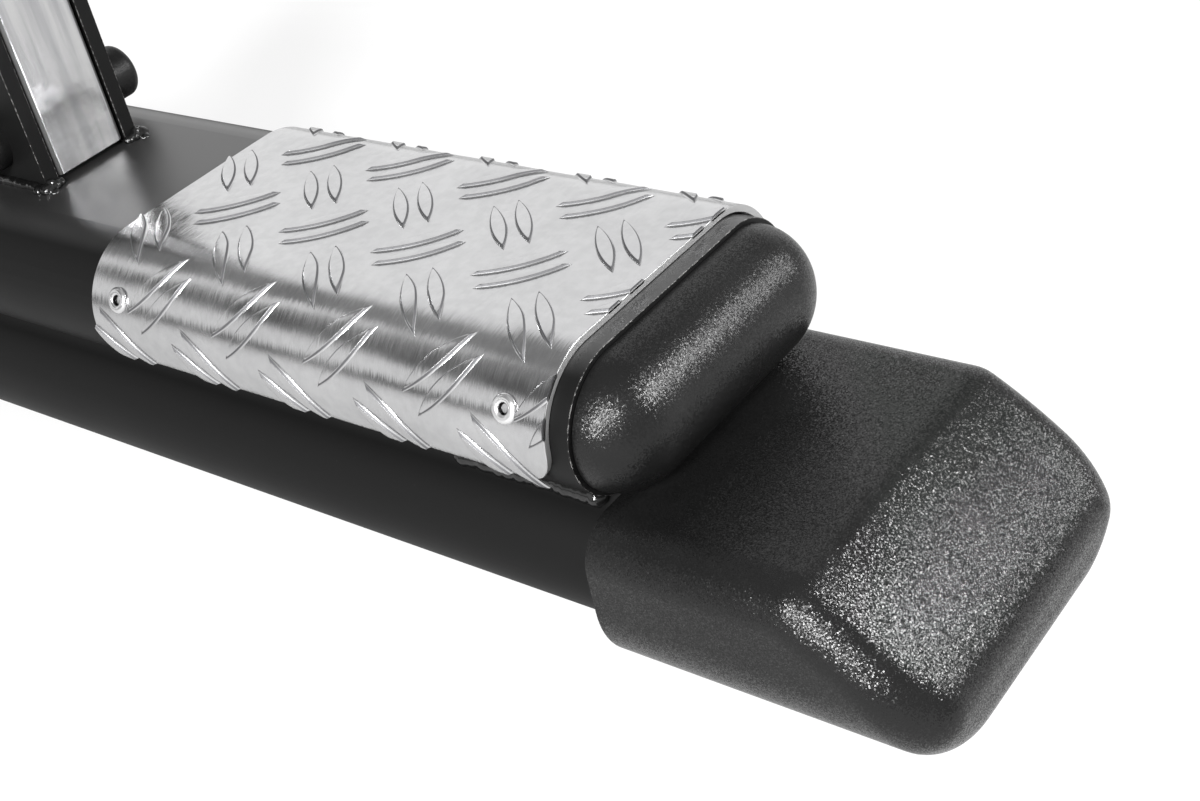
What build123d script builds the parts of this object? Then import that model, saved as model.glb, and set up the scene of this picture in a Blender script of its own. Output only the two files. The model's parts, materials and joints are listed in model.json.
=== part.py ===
from build123d import *
import math
import os

# Fixed foot step of a gym machine's floor frame: two flat-oval tubes one on the other, the upper
# one clad in tread plate, the lower one standing on moulded shoes, with the foot of an upright.
# Millimetres. X runs along the tubes, Z is up, the floor is Z = 0, X = 0 is halfway along the
# tubes, and Y = 0 is their middle plane. -Y is the front, +X the end with the tread plate.

# ---- driving dimensions ---------------------------------------------------------------------

# flat-oval tube, the same stock for the base rail and the step tube
tube_width = 120.0
tube_height = 50.0
tube_wall = 3.0
tube_length = 430.0

# tread plate
plate_thickness = 2.5
plate_length = 208.5
plate_inset = 6.8           # bare tube between the plate and the end cap
plate_wrap = 23.0           # degrees past the tube's widest line, front and back
plate_fit = 0.1             # plate to tube, top and front
plate_spring = 1.0          # how far the back bend stands off the tube
plate_corner = 12.0
plate_trim = 1.0            # how far below the sheared edge the corners' roundings end

# lens-shaped bars of the tread pattern
bar_length = 32.0
bar_width = 6.0
bar_height = 1.0
bar_spacing = 8.6           # centre to centre in one pair
bar_tip = 0.5               # radius at each end of a bar
pattern_pitch = 44.0        # along the tubes
pattern_pitch_wrap = 45.0   # round the tube
pattern_start = 27.0        # first pair, from the tube's end
pattern_offset = 0.0        # row of pairs, from the front edge of the flat top

# blind rivets that hold the plate
rivet_shank = 4.8
rivet_head = 9.5
rivet_head_height = 1.5
rivet_edge = 0.9            # rounding of the head's rim, and the flare of its bore
rivet_flare = 0.5           # height above the plate where the flare ends
rivet_bore = 2.7
rivet_tail = 7.2
rivet_tail_length = 5.0
mandrel_fit = 0.02          # radial, the stem gripped in the rivet's bore
mandrel_below = 0.4         # the broken end, below the plate's face
mandrel_head = 1.6
mandrel_edge = 0.3          # the stem's head is this much smaller than the shank
rivet_inset = 15.0          # from the plate's ends
rivet_below = 27.0          # from the front edge of the flat top, round the bend
hole_fit = 0.15             # radial, fasteners in their holes

# domed end caps of the step tube
dome_length = 22.0
dome_inset = 1.6            # the dome is this much smaller than the tube all round
cap_wall = 2.6
cap_plug = 18.0
cap_seam = 0.3              # dome to the tube's cut end
plug_fit = 0.25             # radial, plugs in the tubes
plug_rib = 2.4

# moulded shoes on the ends of the base rail
shoe_length = 114.2
shoe_side = 5.1             # how far the shoe stands out past the tube's sides
shoe_top = 0.4              # and above its flat top
sole_drop = 12.0            # and below its flat underside
shoe_round = 14.5
shoe_wall = 4.0
slope_start = 70.4          # where the top turns down, from the tube's end
slope_first = 31.0          # the nose is a little convex: its slope at the top, in degrees
slope_last = 46.0           # and at the toe
sole_corner = 18.0          # extra rounding of the long lower corners
shoe_plug = 36.0
plug_wall = 2.6
shoe_rib = 3.0

# self-tapping screws that hold the shoes from below
screw_shank = 4.8
screw_length = 14.0
screw_head = 9.6
screw_head_height = 3.0
screw_edge = 1.3            # rounding of the head's rim
screw_taper = 22.0          # the point's slope, in degrees
cross_length = 3.6          # cross recess for the driver
cross_width = 1.0
cross_depth = 1.2
screw_inset = 20.0          # from the tube's end
screw_offset = 24.0         # either side of the middle plane
boss_diameter = 11.0

# upright: a brushed bar clamped between two cheeks
bar_depth = 50.0
bar_thickness = 33.0
bar_wall = 2.5
bar_top = 224.0
bar_floor_gap = 2.5
post_centre = -89.0
cheek_thickness = 6.0
cheek_gap = 0.7
cheek_height = 93.0
cheek_corner = 3.0

# bolts through the upright, with their plastic covers
bolt_diameter = 10.0
bolt_flats = 17.0
bolt_head_height = 6.4
nut_height = 8.0
bolt_end = 3.0
bolt_chamfer = 1.0
bolt_play = 0.3             # radial, bolts in the cheeks, the bar, the sleeves and the washers
washer_diameter = 18.0
washer_thickness = 1.6
bolt_height = 17.1          # lower bolt above the step tube
bolt_spacing = 50.0
sleeve_diameter = 16.0
cover_diameter = 21.8
cover_height = 20.7
cover_wall = 1.0
cover_round = 3.5

# plug in the top of the bar
post_plug_depth = 14.0
post_plug_lip = 3.0
post_plug_round = 1.8

# weld beads
tube_bead = 4.6
tube_bead_length = 54.0
tube_bead_inset = 6.0
tube_bead_side = 11.0       # out from the edge of the tubes' flats
post_bead = 4.0
post_blob = 3.2             # radius of the heavier blobs at a cheek's corners
post_blob_first = 3.8       # and of the one right at the corner
post_blob_step = 2.4        # from a corner to the blob beside it

# ---- derived places -------------------------------------------------------------------------

rail_z = sole_drop + tube_height / 2
step_z = rail_z + tube_height
deck_z = step_z + tube_height / 2
tube_end = tube_length / 2
tube_round = tube_height / 2
flat_half = tube_width / 2 - tube_round
tube_bead_out = flat_half + tube_bead_side
plate_right = tube_end - plate_inset
plate_left = plate_right - plate_length
plate_inner = tube_round + plate_fit
cheek_inner = bar_thickness / 2 + cheek_gap
cheek_outer = cheek_inner + cheek_thickness
bolt_rows = [deck_z + bolt_height, deck_z + bolt_height + bolt_spacing]
quarter_turn = 90.0


def at_yz(x, y=0.0, z=0.0):
    """Plane square to the tubes: its own X runs along +Y and its own Y runs up."""
    return Plane(origin=(x, y, z), x_dir=(0, 1, 0), z_dir=(1, 0, 0))


def oval_bar(x_from, x_to, width, height, z):
    """Solid with a flat-oval section, along X."""
    return extrude(at_yz(x_from, 0, z) * SlotOverall(width, height), x_to - x_from)


def oval_bore(x_from, x_to, wall, z):
    """The room inside a tube, or inside a plug with that much wall in all."""
    return oval_bar(x_from, x_to, tube_width - 2 * wall, tube_height - 2 * wall, z)


def round_bar(centre, axis, diameter, length):
    """Cylinder that starts at centre and runs along axis."""
    return extrude(Plane(origin=centre, z_dir=axis) * Circle(diameter / 2), length)


# ---- tubes ----------------------------------------------------------------------------------

def oval_tube(z):
    outside = oval_bar(-tube_end, tube_end, tube_width, tube_height, z)
    return outside - oval_bore(-tube_end, tube_end, tube_wall, z)


def screw_places():
    return [(sx * (tube_end - screw_inset), sy * screw_offset) for sx in (-1, 1) for sy in (-1, 1)]


def base_rail():
    tube = oval_tube(rail_z)
    for x, y in screw_places():
        hole = screw_shank + 2 * hole_fit
        tube -= round_bar((x, y, sole_drop - 1), (0, 0, 1), hole, tube_wall + 2)
    return tube


def step_tube():
    tube = oval_tube(step_z)
    for place in rivet_places():
        tube -= place * Cylinder(rivet_shank / 2 + hole_fit, 4 * tube_wall)
    return tube


# ---- tread plate ----------------------------------------------------------------------------

def wrap_place(x, along):
    """Location on the plate's inner face, along mm round the tube from the top's front edge.

    Its Z points out of the plate, its X runs along the tubes and its Y runs round to the back.
    """
    back_edge = 2 * flat_half + plate_spring
    if along < 0:
        turn, y = along / plate_inner, -flat_half
    elif along > back_edge:
        turn, y = (along - back_edge) / plate_inner, flat_half + plate_spring
    else:
        turn, y = 0.0, along - flat_half
    out = (0, math.sin(turn), math.cos(turn))
    seat = (x, y + plate_inner * out[1], step_z + plate_inner * out[2])
    return Plane(origin=seat, x_dir=(1, 0, 0), z_dir=out).location


def wrap_layer(inner, outer):
    """Layer of the plate between two radii, bent over the front, top and back of the tube."""
    past = math.radians(plate_wrap)
    front, back = -flat_half, flat_half + plate_spring

    def bend(y, side, radius, angle):
        return (y + side * radius * math.cos(angle), radius * math.sin(angle))

    def outline(radius):
        middle = (math.pi / 2 - past) / 2
        arcs = [
            ThreePointArc(bend(edge, side, radius, -past), bend(edge, side, radius, middle), (edge, radius))
            for edge, side in ((front, -1), (back, 1))
        ]
        return arcs + [Line((front, radius), (back, radius))]

    ends = [
        Line(bend(front, -1, inner, -past), bend(front, -1, outer, -past)),
        Line(bend(back, 1, inner, -past), bend(back, 1, outer, -past)),
    ]
    section = make_face(outline(inner) + outline(outer) + ends)
    return extrude(at_yz(plate_left, 0, step_z) * section, plate_length)


def plate_outline(lowest):
    """Prism with the sheet's rounded corners, seen from the front, that trims sheet and bars alike."""
    tall = 2 * tube_height
    middle = ((plate_left + plate_right) / 2, step_z + lowest + tall / 2)
    outline = Pos(*middle) * RectangleRounded(plate_length, tall, plate_corner)
    return extrude(Plane.XZ * outline, tube_width, both=True)


def bar_pairs():
    """Centres and headings of the pairs: a square lattice, with every other pair turned."""
    wrap = math.radians(90 + plate_wrap) * plate_inner
    lowest, highest = -wrap, 2 * flat_half + plate_spring + wrap
    columns = math.ceil(plate_length / pattern_pitch) + 2
    rows = range(math.floor(lowest / pattern_pitch_wrap) - 1, math.ceil(highest / pattern_pitch_wrap) + 2)
    pairs = []
    for column in range(-1, columns):
        for row in rows:
            for shift, heading in ((0.0, 135), (0.5, 45)):
                x = tube_end - pattern_start - (column + shift) * pattern_pitch
                along = pattern_offset + (row + shift) * pattern_pitch_wrap
                inside = plate_left - bar_width < x < plate_right + bar_width
                if inside and lowest < along < highest:
                    pairs.append((x, along, heading))
    return pairs


def lens():
    """Outline of one bar: two arcs that meet in narrow tips."""
    tip = bar_length / 2
    lower = ThreePointArc((-tip, 0), (0, -bar_width / 2), (tip, 0))
    upper = ThreePointArc((tip, 0), (0, bar_width / 2), (-tip, 0))
    outline = make_face([lower, upper])
    return fillet(outline.vertices(), bar_tip)


def tread_plate():
    outer = plate_inner + plate_thickness
    crest = outer + bar_height
    plate = wrap_layer(plate_inner, outer)
    layer = wrap_layer(outer - plate_thickness / 2, crest)
    bar = extrude(lens(), plate_thickness + 2 * bar_height)
    bars = []
    for x, along, heading in bar_pairs():
        for side in (-0.5, 0.5):
            bars.append(wrap_place(x, along) * Rot(0, 0, heading) * Pos(0, side * bar_spacing, 0) * bar)
    plate += (layer & (Part() + bars)).solids()
    plate &= plate_outline(-crest * math.sin(math.radians(plate_wrap)) - plate_trim)
    for place in rivet_places():
        plate -= place * Cylinder(rivet_shank / 2 + hole_fit, 4 * plate_thickness)
        seat = extrude(Circle(rivet_head / 2 + hole_fit), 2 * bar_height)
        plate -= place * Pos(0, 0, plate_thickness) * seat
    return plate


# ---- rivets ---------------------------------------------------------------------------------

def rivet_places():
    places = []
    for x in (plate_right - rivet_inset, plate_left + rivet_inset):
        for along in (-rivet_below, 2 * flat_half + plate_spring + rivet_below):
            places.append(wrap_place(x, along))
    return places


def rivet_body():
    """Blind rivet, set: domed head, shank and the tail that swells behind the tube's wall."""
    shank_end = -(tube_wall + plate_spring + plate_fit)
    tail_end = shank_end - rivet_tail_length
    head = plate_thickness
    half = rivet_head / 2
    top = head + rivet_head_height
    crest = rivet_bore / 2 + rivet_edge
    profile = make_face([
        Line((rivet_bore / 2, tail_end), (rivet_shank / 2, tail_end)),
        ThreePointArc((rivet_shank / 2, tail_end), (rivet_tail / 2, (tail_end + shank_end) / 2),
                      (rivet_shank / 2, shank_end)),
        Line((rivet_shank / 2, shank_end), (rivet_shank / 2, head)),
        Line((rivet_shank / 2, head), (half, head)),
        ThreePointArc((half, head), (half - rivet_edge, head + 0.75 * rivet_head_height), (crest, top)),
        Line((crest, top), (rivet_bore / 2, head + rivet_flare)),
        Line((rivet_bore / 2, head + rivet_flare), (rivet_bore / 2, tail_end)),
    ])
    return revolve(Plane.XZ * profile, Axis.Z)


def rivet_mandrel():
    """Broken-off stem left in the rivet, with its head under the tail."""
    tail_end = -(tube_wall + plate_spring + plate_fit) - rivet_tail_length
    stem_length = plate_thickness - mandrel_below - tail_end
    stem = Pos(0, 0, tail_end) * extrude(Circle(rivet_bore / 2 - mandrel_fit), stem_length)
    head = Pos(0, 0, tail_end) * extrude(Circle(rivet_shank / 2 - mandrel_edge), -mandrel_head)
    return stem + head


# ---- domed end caps -------------------------------------------------------------------------

def dome(length, half_height):
    """Full-round nose on a flat-oval base, at the +X end, with its base at X = 0."""
    nose = EllipticalCenterArc((0, 0), length, half_height, start_angle=0, arc_size=quarter_turn)
    quarter = make_face([nose, Line((0, half_height), (0, 0)), Line((0, 0), (length, 0))])
    upper = Plane.XZ * quarter
    half_profile = upper + mirror(upper, Plane.XY)
    middle = extrude(half_profile, flat_half, both=True)
    end = revolve(upper, Axis.X)
    return middle + Pos(0, flat_half, 0) * end + Pos(0, -flat_half, 0) * end


def step_cap():
    base = tube_end + cap_seam
    half = tube_round - dome_inset
    shell = dome(dome_length, half) - dome(dome_length - cap_wall, half - cap_wall)
    cap = Pos(base, 0, step_z) * shell
    start = tube_end - cap_plug
    outer = tube_wall + plug_fit
    cap += oval_bore(start, base, outer, step_z)
    cap -= oval_bore(start, base, outer + cap_wall, step_z)
    web_height = tube_height - 2 * outer - cap_wall
    for y in (-flat_half / 2, flat_half / 2):
        web = Pos((start + base) / 2, y, step_z) * Box(base - start, plug_rib, web_height)
        cap += web
    return cap


# ---- shoes ----------------------------------------------------------------------------------

def shoe_core(inset):
    """Core of the shoe, inset from its outside by the rounding that goes all round it.

    A side view with a sloping nose, crossed with an end view with rounded lower corners.
    """
    half = tube_width / 2 + shoe_side - inset
    top = rail_z + tube_round + shoe_top - inset
    bottom = inset
    start = tube_end - 2 * inset
    toe = tube_end + shoe_length - inset
    first, last = math.radians(slope_first), math.radians(slope_last)
    ridge = tube_end + slope_start - inset * math.tan(first / 2)
    crown = (toe - ridge) / (math.sin(last) - math.sin(first))
    nose = top - crown * (math.cos(first) - math.cos(last))
    middle = (first + last) / 2
    halfway = (ridge + crown * (math.sin(middle) - math.sin(first)),
               top - crown * (math.cos(first) - math.cos(middle)))

    side = make_face([
        ThreePointArc((ridge, top), halfway, (toe, nose)),
        Polyline((toe, nose), (toe, bottom), (start, bottom), (start, top), (ridge, top)),
    ])
    body = extrude(Plane.XZ * side, half, both=True)

    low, turn = bottom + sole_corner, sole_corner * (1 - math.sqrt(0.5))
    section = make_face([
        Line((-half, top), (half, top)),
        Line((half, top), (half, low)),
        ThreePointArc((half, low), (half - turn, bottom + turn), (half - sole_corner, bottom)),
        Line((half - sole_corner, bottom), (sole_corner - half, bottom)),
        ThreePointArc((sole_corner - half, bottom), (turn - half, bottom + turn), (-half, low)),
        Line((-half, low), (-half, top)),
    ])
    return body & extrude(at_yz(start) * section, toe - start)


def shoe():
    """Hollow moulded foot: rounded shell, flange against the tube's end, plug, ribs and bosses."""
    core = shoe_core(shoe_round)
    outside = offset(core, shoe_round, kind=Kind.ARC)
    inside = offset(core, shoe_round - shoe_wall, kind=Kind.ARC)
    behind = Pos(tube_end - tube_height, 0, rail_z) * Box(2 * tube_height, 2 * tube_width, 4 * tube_height)
    shell = (outside - behind) - (inside - Pos(shoe_wall, 0, 0) * behind)

    start = tube_end - shoe_plug
    flange = tube_end + shoe_wall
    plug = tube_wall + plug_fit
    bore = oval_bore(start, flange, plug + plug_wall, rail_z)
    body = shell + (oval_bore(start, flange, plug, rail_z) - bore) - bore

    # ribs run from the plug's mouth to the nose, up to the shell's inside
    hollow = (inside - behind) + bore
    reach = start + shoe_plug + shoe_length
    for y in (-2 * screw_offset, 0, 2 * screw_offset):
        web = Pos((start + reach) / 2, y, rail_z) * Box(reach - start, shoe_rib, 4 * tube_height)
        body += web & hollow
    cross = Pos(tube_end + shoe_length / 3, 0, rail_z) * Box(shoe_rib, 2 * tube_width, 4 * tube_height)
    body += cross & (inside - behind)

    for x, y in screw_places():
        if x > 0:
            floor = rail_z - tube_height / 2 + plug
            boss = round_bar((x, y, floor), (0, 0, 1), boss_diameter, screw_length)
            body += boss & hollow
            hole = round_bar((x, y, floor - plug), (0, 0, 1), screw_shank, screw_length + 1)
            body -= hole
    return body


def shoe_screw(x, y):
    """Pan-head self-tapping screw, driven up through the tube into the shoe's boss."""
    seat = (x, y, sole_drop)
    head = round_bar(seat, (0, 0, -1), screw_head, screw_head_height)
    rim = head.edges().filter_by(GeomType.CIRCLE).sort_by(Axis.Z)[0]
    head = fillet(rim, screw_edge)
    cross = Box(cross_length, cross_width, 2 * cross_depth) + Box(cross_width, cross_length, 2 * cross_depth)
    head -= Pos(x, y, sole_drop - screw_head_height) * cross
    tip = cone_tip((x, y, sole_drop + screw_length - screw_shank), screw_shank)
    shank = round_bar(seat, (0, 0, 1), screw_shank, screw_length - screw_shank)
    return head + shank + tip


def cone_tip(centre, diameter):
    base = Plane(origin=centre, z_dir=(0, 0, 1)) * Circle(diameter / 2)
    return extrude(base, diameter, taper=screw_taper)


# ---- upright --------------------------------------------------------------------------------

def cheek(side):
    """One welded cheek plate; side is -1 at the front and +1 at the back."""
    centre_z = deck_z + cheek_height / 2
    outline = Pos(post_centre, centre_z) * Rectangle(bar_depth, cheek_height)
    y = side * cheek_inner
    plate = extrude(Plane.XZ * outline, cheek_thickness * -side)
    plate = Pos(0, y, 0) * plate
    top = plate.edges().filter_by(Axis.Y).sort_by(Axis.Z)[-2:]
    plate = fillet(top, cheek_corner)
    for z in bolt_rows:
        hole = bolt_diameter + 2 * bolt_play
        plate -= round_bar((post_centre, -tube_width, z), (0, 1, 0), hole, 2 * tube_width)
    return plate


def post_bar():
    """Rectangular tube held between the cheeks, with its foot clear of the step tube."""
    base = deck_z + bar_floor_gap
    height = bar_top - base
    outside = Pos(post_centre, 0) * RectangleRounded(bar_depth, bar_thickness, bar_wall)
    room = Pos(post_centre, 0) * RectangleRounded(
        bar_depth - 2 * bar_wall, bar_thickness - 2 * bar_wall, bar_wall / 2)
    bar = extrude(Plane.XY.offset(base) * (outside - room), height)
    for z in bolt_rows:
        hole = bolt_diameter + 2 * bolt_play
        bar -= round_bar((post_centre, -tube_width, z), (0, 1, 0), hole, 2 * tube_width)
    return bar


def post_sleeve(z):
    """Distance sleeve inside the bar, so that the bolt can't crush it."""
    inner = bar_thickness - 2 * bar_wall
    start = (post_centre, -inner / 2, z)
    tube = round_bar(start, (0, 1, 0), sleeve_diameter, inner)
    return tube - round_bar(start, (0, 1, 0), bolt_diameter + 2 * bolt_play, inner)


def hexagon(centre, axis, height):
    face = Plane(origin=centre, z_dir=axis) * RegularPolygon(bolt_flats / 2, 6, major_radius=False)
    return extrude(face, height)


def post_bolt(z):
    """Hexagon-head bolt from the front cheek to past the nut behind the back one."""
    seat = cheek_outer + washer_thickness
    head = hexagon((post_centre, -seat, z), (0, -1, 0), bolt_head_height)
    shank_length = 2 * seat + nut_height + bolt_end
    shank = round_bar((post_centre, -seat, z), (0, 1, 0), bolt_diameter, shank_length)
    end = shank.edges().filter_by(GeomType.CIRCLE).sort_by(Axis.Y)[-1]
    return chamfer(end, bolt_chamfer) + head


def post_nut(z):
    seat = (post_centre, cheek_outer + washer_thickness, z)
    nut = hexagon(seat, (0, 1, 0), nut_height)
    return nut - round_bar(seat, (0, 1, 0), bolt_diameter, nut_height)


def post_washer(z, side):
    seat = (post_centre, side * cheek_outer, z)
    ring = round_bar(seat, (0, side, 0), washer_diameter, washer_thickness)
    return ring - round_bar(seat, (0, side, 0), bolt_diameter + 2 * bolt_play, washer_thickness)


def bolt_cover(z, side):
    """Plastic cover pressed over a bolt head or nut, open against the cheek."""
    seat = (post_centre, side * cheek_outer, z)
    cover = round_bar(seat, (0, side, 0), cover_diameter, cover_height)
    rim = cover.edges().filter_by(GeomType.CIRCLE).sort_by(Axis.Y)[-1 if side > 0 else 0]
    cover = fillet(rim, cover_round)
    room = cover_diameter - 2 * cover_wall
    return cover - round_bar(seat, (0, side, 0), room, cover_height - 2 * cover_wall)


def post_plug():
    """Ribbed plug that closes the bar's top."""
    lid = Pos(post_centre, 0) * RectangleRounded(bar_depth, bar_thickness, bar_wall)
    lid = extrude(Plane.XY.offset(bar_top) * lid, post_plug_lip)
    lid = fillet(lid.faces().sort_by(Axis.Z)[-1].edges(), post_plug_round)
    depth = bar_depth - 2 * (bar_wall + plug_fit)
    width = bar_thickness - 2 * (bar_wall + plug_fit)
    outer = Pos(post_centre, 0) * RectangleRounded(depth, width, bar_wall / 2)
    inner = Pos(post_centre, 0) * Rectangle(depth - 2 * plug_wall, width - 2 * plug_wall)
    skirt = extrude(Plane.XY.offset(bar_top) * (outer - inner), -post_plug_depth)
    web = Box(plug_rib, width - plug_wall, post_plug_depth)
    return lid + skirt + Pos(post_centre, 0, bar_top - post_plug_depth / 2) * web


# ---- weld beads -----------------------------------------------------------------------------

def tube_weld(side, end):
    """Bead laid in the groove between the tubes, near one end of one side."""
    groove_z = rail_z + tube_height / 2
    reach = tube_end - tube_bead_inset
    start = (end * reach, side * tube_bead_out, groove_z)
    rod = round_bar(start, (-end, 0, 0), 2 * tube_bead, tube_bead_length)
    far = (end * (reach - tube_bead_length), side * tube_bead_out, groove_z)
    bead = rod + Pos(*start) * Sphere(tube_bead) + Pos(*far) * Sphere(tube_bead)
    for z in (rail_z, step_z):
        bead -= oval_bar(-tube_end, tube_end, tube_width, tube_height, z)
    return bead.solids().sort_by(SortBy.VOLUME)[-1]


def post_weld(side):
    """Fillet weld along a cheek's foot, with the heavier blobs at its corners."""
    y = side * cheek_outer
    lean = Polyline((y, deck_z), (y + side * post_bead, deck_z), (y, deck_z + post_bead), close=True)
    bead = extrude(at_yz(post_centre - bar_depth / 2) * make_face(lean), bar_depth)
    for end in (-1, 1):
        x = post_centre + end * (bar_depth / 2)
        bead += Pos(x, y, deck_z) * Sphere(post_blob_first)
        bead += Pos(x, y - side * post_blob_first, deck_z) * Sphere(post_blob)
        bead += Pos(x - end * post_blob_step, y + side * post_bead / 2, deck_z) * Sphere(post_blob)
    bead -= oval_bar(-tube_end, tube_end, tube_width, tube_height, step_z)
    box = Pos(post_centre, side * (cheek_inner + cheek_thickness / 2), deck_z + cheek_height / 2)
    return bead - box * Box(bar_depth, cheek_thickness, cheek_height)


# ---- the parts ------------------------------------------------------------------------------

def flip(shape):
    """The same piece at the other end of the tubes."""
    return mirror(shape, Plane.YZ)


def save(name, *solids):
    shape = solids[0] if len(solids) == 1 else Compound(children=list(solids))
    export_step(shape, f"parts/{name}.step")


def main():
    os.makedirs("parts", exist_ok=True)
    save("base_rail", base_rail())
    save("step_tube", step_tube())
    save("tread_plate", tread_plate())
    save("tread_rivet_bodies", *[place * rivet_body() for place in rivet_places()])
    save("tread_rivet_mandrels", *[place * rivet_mandrel() for place in rivet_places()])

    cap = step_cap()
    save("step_cap_right", cap)
    save("step_cap_left", flip(cap))
    foot = shoe()
    save("shoe_right", foot)
    save("shoe_left", flip(foot))
    save("shoe_screws", *[shoe_screw(x, y) for x, y in screw_places()])

    for name, side in (("front", -1), ("back", 1)):
        save(f"tube_welds_{name}", *[tube_weld(side, end) for end in (-1, 1)])
        save(f"post_cheek_{name}", cheek(side))
        save(f"post_weld_{name}", post_weld(side))
        save(f"bolt_covers_{name}", *[bolt_cover(z, side) for z in bolt_rows])

    save("post_bar", post_bar())
    save("post_plug", post_plug())
    save("post_sleeves", *[post_sleeve(z) for z in bolt_rows])
    save("post_bolts", *[post_bolt(z) for z in bolt_rows])
    save("post_nuts", *[post_nut(z) for z in bolt_rows])
    save("post_washers", *[post_washer(z, side) for z in bolt_rows for side in (-1, 1)])


if __name__ == "__main__":
    main()
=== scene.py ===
# %% [markdown]
# # The foot step of a gym machine
#
# Two flat-oval steel tubes lie one on the other. The upper one is clad in aluminium tread plate and
# closed by domed plastic caps, the lower one stands on moulded plastic shoes, and the foot of an
# upright is welded on beside the plate. The rigid shapes come from the CAD model. This script gives
# them their finishes, and makes again, finer, the pieces whose surface is the point of them: the tread
# plate, the rivets and the weld beads.

# %% The frame
import json
import math

import bmesh
import bpy
from mathutils import Matrix, Vector


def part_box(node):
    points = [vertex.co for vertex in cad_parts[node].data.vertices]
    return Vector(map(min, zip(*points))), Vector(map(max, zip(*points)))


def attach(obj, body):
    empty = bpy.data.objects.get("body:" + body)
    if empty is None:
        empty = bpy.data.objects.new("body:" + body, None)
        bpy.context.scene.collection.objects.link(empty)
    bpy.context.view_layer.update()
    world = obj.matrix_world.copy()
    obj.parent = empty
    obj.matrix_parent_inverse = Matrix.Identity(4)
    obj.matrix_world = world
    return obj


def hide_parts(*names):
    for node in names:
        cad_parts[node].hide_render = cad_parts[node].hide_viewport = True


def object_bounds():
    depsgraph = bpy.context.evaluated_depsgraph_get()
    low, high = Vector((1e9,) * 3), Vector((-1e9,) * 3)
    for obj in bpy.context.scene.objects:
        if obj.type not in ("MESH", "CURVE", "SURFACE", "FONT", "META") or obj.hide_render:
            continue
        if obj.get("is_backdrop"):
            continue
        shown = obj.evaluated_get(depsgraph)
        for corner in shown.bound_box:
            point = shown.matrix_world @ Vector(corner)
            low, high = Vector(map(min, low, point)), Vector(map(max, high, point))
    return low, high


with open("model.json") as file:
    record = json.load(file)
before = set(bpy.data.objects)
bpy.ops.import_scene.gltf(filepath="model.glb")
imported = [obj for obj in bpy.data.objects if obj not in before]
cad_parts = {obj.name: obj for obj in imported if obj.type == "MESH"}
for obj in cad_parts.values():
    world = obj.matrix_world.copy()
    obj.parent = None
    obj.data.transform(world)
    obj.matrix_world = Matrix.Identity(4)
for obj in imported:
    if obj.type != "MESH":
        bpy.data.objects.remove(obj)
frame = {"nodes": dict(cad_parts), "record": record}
parts = frame["nodes"]
cad_low, cad_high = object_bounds()
MM = 0.001


def in_millimetres(lengths):
    return [round(v / MM, 1) for v in lengths]


print("CAD box, mm:", in_millimetres((*cad_low, *cad_high)))

# %% [markdown]
# ## Where things are
#
# Places are read from the CAD model's own boxes, so that nothing is fitted by eye. The step tube gives
# the deck's height and the ends, and its half height is the radius of its round sides.

# %% Places read from the model
tube_low, tube_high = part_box("step_tube")
plate_low, plate_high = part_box("tread_plate")

deck_z = tube_high.z
step_z = (tube_low.z + tube_high.z) / 2
tube_end = tube_high.x
tube_round = (tube_high.z - tube_low.z) / 2
flat_half = tube_high.y - tube_round
sheet_thick = 2.5 * MM          # the tread plate without its bars
print("deck's height and flat width, mm:", in_millimetres((deck_z, 2 * flat_half)))

# %% [markdown]
# ## Putting things in the scene
#
# Camera and lamps are placed as on a globe: by an azimuth round the object, from its front, and an
# elevation.

# %% Helpers for objects
def direction(azimuth, elevation):
    """The unit vector from the object towards an azimuth and an elevation, in degrees."""
    a, e = math.radians(azimuth), math.radians(elevation)
    return Vector((math.sin(a) * math.cos(e), -math.cos(a) * math.cos(e), math.sin(e)))


def put_in_scene(name, data):
    """A new object with that data, linked to the scene."""
    thing = bpy.data.objects.new(name, data)
    bpy.context.scene.collection.objects.link(thing)
    return thing


# %% [markdown]
# ## Camera
#
# A camera is a place, a direction and a lens. Blender's camera looks along its own -Z with +X to the
# right, so its matrix is built from the direction it looks back along, and then rolled a little about
# that direction, for a tilted horizon.

# %% Camera
def place_camera(place, azimuth, elevation, roll, lens):
    """A camera at place that looks down from elevation, from azimuth round the object, in degrees."""
    back = direction(azimuth, elevation)
    right = (-back).cross(Vector((0, 0, 1))).normalized()
    up = right.cross(-back)
    r = math.radians(roll)
    across = math.cos(r) * right + math.sin(r) * up
    over = math.cos(r) * up - math.sin(r) * right
    data = bpy.data.cameras.new("camera")
    data.lens = lens
    data.clip_start, data.clip_end = 0.01, 20
    camera = put_in_scene("camera", data)
    camera.matrix_world = Matrix.Translation(place) @ Matrix((across, over, back)).transposed().to_4x4()
    bpy.context.scene.camera = camera
    return camera


camera = place_camera(
    (0.5081, -0.3483, 0.3798), azimuth=43.754, elevation=33.707, roll=-13.115, lens=52.42)
print("camera looks along", [round(v, 2) for v in camera.matrix_world.to_3x3() @ Vector((0, 0, -1))])

# %% [markdown]
# ## Writing node trees
#
# Blender's node trees are graphs, and in a script each node is one call and each wire another. Small
# helpers keep that readable. `add` makes a node in the tree that is being built, sets its options, fills
# its inputs with plain values or other nodes' outputs, and gives one output as a `Value`. Reckoning with
# a `Value` makes Math nodes, so a formula reads as a formula.

# %% Helpers for node trees
def work_in(tree):
    """From here on, new nodes go into this tree."""
    global tree_at_work
    tree_at_work = tree


class Value:
    """A node's output, which can be added, subtracted, multiplied and divided."""

    def __init__(self, socket):
        self.socket = socket

    def __add__(self, other):
        return calc("ADD", self, other)

    def __sub__(self, other):
        return calc("SUBTRACT", self, other)

    def __mul__(self, other):
        return calc("MULTIPLY", self, other)

    def __truediv__(self, other):
        return calc("DIVIDE", self, other)


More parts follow.
